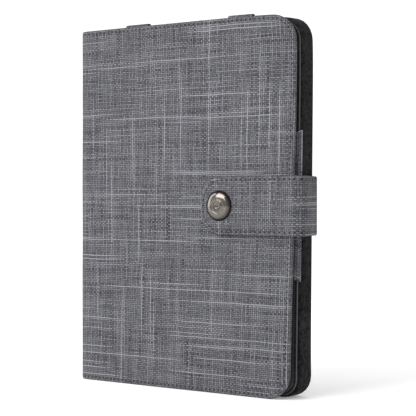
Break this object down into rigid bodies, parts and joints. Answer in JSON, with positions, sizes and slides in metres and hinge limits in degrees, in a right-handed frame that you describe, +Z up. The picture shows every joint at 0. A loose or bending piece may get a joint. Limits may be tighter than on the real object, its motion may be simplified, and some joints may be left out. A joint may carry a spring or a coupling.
{
  "type": "tablet keyboard case",
  "caption": "Book-style folio case standing on edge: woven cloth covers, spine, hinged tablet holder, black suede keyboard tray and a snap strap.",
  "frame": {"origin": "on the surface it stands on, under the middle of the whole case's box", "axes": "+X from the spine to the opening edge, +Y from the front cover to the back, +Z up"},
  "size_m": [0.1626, 0.0286, 0.2118],
  "materials": {
    "cover_cloth": "melange grey cross-hatch weave with slubs",
    "suede": "black microsuede",
    "binders_board": "raw binder's board",
    "tape": "black woven tape",
    "snap_metal": "polished gunmetal plate",
    "keyboard_shell": "fine moulded texture",
    "key_caps": "satin",
    "membrane_rubber": "silicone",
    "circuit_laminate": "solder mask",
    "bare_metal": "satin",
    "light_window": "frosted"
  },
  "bodies": {
    "back_cover": {"keyboard_tray": "suede", "back_board": "binders_board", "back_cloth": "cover_cloth", "strap_anchor": "cover_cloth", "keyboard_base": "keyboard_shell", "keyboard_frame": "keyboard_shell", "circuit_board": "circuit_laminate", "battery": "bare_metal", "charging_socket": "bare_metal", "key_membrane": "membrane_rubber", "indicator_window": "light_window", "grip_pad_lower": "tape", "grip_pad_upper": "tape"},
    "spine": {"spine_cloth": "cover_cloth", "spine_board": "binders_board", "spine_lining": "suede", "holder_hinge_tape": "tape"},
    "front_cover": {"front_cover_cloth": "cover_cloth", "front_cover_board": "binders_board", "front_cover_lining": "suede", "snap_stud": "snap_metal", "snap_rivet": "snap_metal"},
    "tablet_holder": {"holder_panel": "suede", "top_loop_left": "cover_cloth", "top_loop_right": "cover_cloth", "bottom_loop_left": "cover_cloth", "bottom_loop_right": "cover_cloth", "side_band": "cover_cloth", "prop_hinge_tape": "tape"},
    "prop": {"prop_flap": "suede"},
    "strap_wrap": {"strap_side": "cover_cloth"},
    "strap_front": {"strap_flap": "cover_cloth", "snap_cap": "snap_metal", "snap_socket": "snap_metal"},
    "number_keys": {"number_row": "key_caps"},
    "upper_keys": {"upper_row": "key_caps"},
    "home_keys": {"home_row": "key_caps"},
    "lower_keys": {"lower_row": "key_caps"},
    "left_modifiers": {"modifier_keys_left": "key_caps"},
    "space_key": {"space_bar": "key_caps"},
    "right_modifiers": {"modifier_keys_right": "key_caps"},
    "switch_slider": {"power_switch": "key_caps"}
  },
  "joints": [
    {"name": "spine_fold", "type": "hinge", "parent": "back_cover", "child": "spine", "pos_m": [-0.07725, 0.00825, 0.105], "axis": [0, 0, -1], "range_deg": [0, 90]},
    {"name": "cover_fold", "type": "hinge", "parent": "spine", "child": "front_cover", "pos_m": [-0.07725, -0.00355, 0.105], "axis": [0, 0, -1], "range_deg": [0, 90]},
    {"name": "holder_fold", "type": "hinge", "parent": "spine", "child": "tablet_holder", "pos_m": [-0.07575, -0.00095, 0.105], "axis": [0, 0, -1], "range_deg": [0, 30]},
    {"name": "prop_fold", "type": "hinge", "parent": "tablet_holder", "child": "prop", "pos_m": [-0.04575, -0.00185, 0.105], "axis": [0, 0, -1], "range_deg": [0, 79.5]},
    {"name": "strap_back_fold", "type": "hinge", "parent": "back_cover", "child": "strap_wrap", "pos_m": [0.07395, 0.01335, 0.105], "axis": [0, 0, 1], "range_deg": [0, 160]},
    {"name": "strap_front_fold", "type": "hinge", "parent": "strap_wrap", "child": "strap_front", "pos_m": [0.08075, -0.01075, 0.105], "axis": [0, 0, 1], "range_deg": [0, 120]},
    {"name": "number_row_press", "type": "slide", "parent": "back_cover", "child": "number_keys", "axis": [0, 1, 0], "range_m": [0, 0.0011], "stiffness_N_per_m": 400, "springref_m": -0.0006},
    {"name": "upper_row_press", "type": "slide", "parent": "back_cover", "child": "upper_keys", "axis": [0, 1, 0], "range_m": [0, 0.0011], "stiffness_N_per_m": 400, "springref_m": -0.0006},
    {"name": "home_row_press", "type": "slide", "parent": "back_cover", "child": "home_keys", "axis": [0, 1, 0], "range_m": [0, 0.0011], "stiffness_N_per_m": 400, "springref_m": -0.0006},
    {"name": "lower_row_press", "type": "slide", "parent": "back_cover", "child": "lower_keys", "axis": [0, 1, 0], "range_m": [0, 0.0011], "stiffness_N_per_m": 400, "springref_m": -0.0006},
    {"name": "left_modifiers_press", "type": "slide", "parent": "back_cover", "child": "left_modifiers", "axis": [0, 1, 0], "range_m": [0, 0.0011], "stiffness_N_per_m": 400, "springref_m": -0.0006},
    {"name": "space_bar_press", "type": "slide", "parent": "back_cover", "child": "space_key", "axis": [0, 1, 0], "range_m": [0, 0.0011], "stiffness_N_per_m": 400, "springref_m": -0.0006},
    {"name": "right_modifiers_press", "type": "slide", "parent": "back_cover", "child": "right_modifiers", "axis": [0, 1, 0], "range_m": [0, 0.0011], "stiffness_N_per_m": 400, "springref_m": -0.0006},
    {"name": "power_switch_slide", "type": "slide", "parent": "back_cover", "child": "switch_slider", "axis": [1, 0, 0], "range_m": [0, 0.002]}
  ],
  "couplings": [
    {"joint": "cover_fold", "follows": "spine_fold", "ratio": 1},
    {"joint": "holder_fold", "follows": "spine_fold", "ratio": 0.3333},
    {"joint": "prop_fold", "follows": "spine_fold", "ratio": 0.8833}
  ]
}
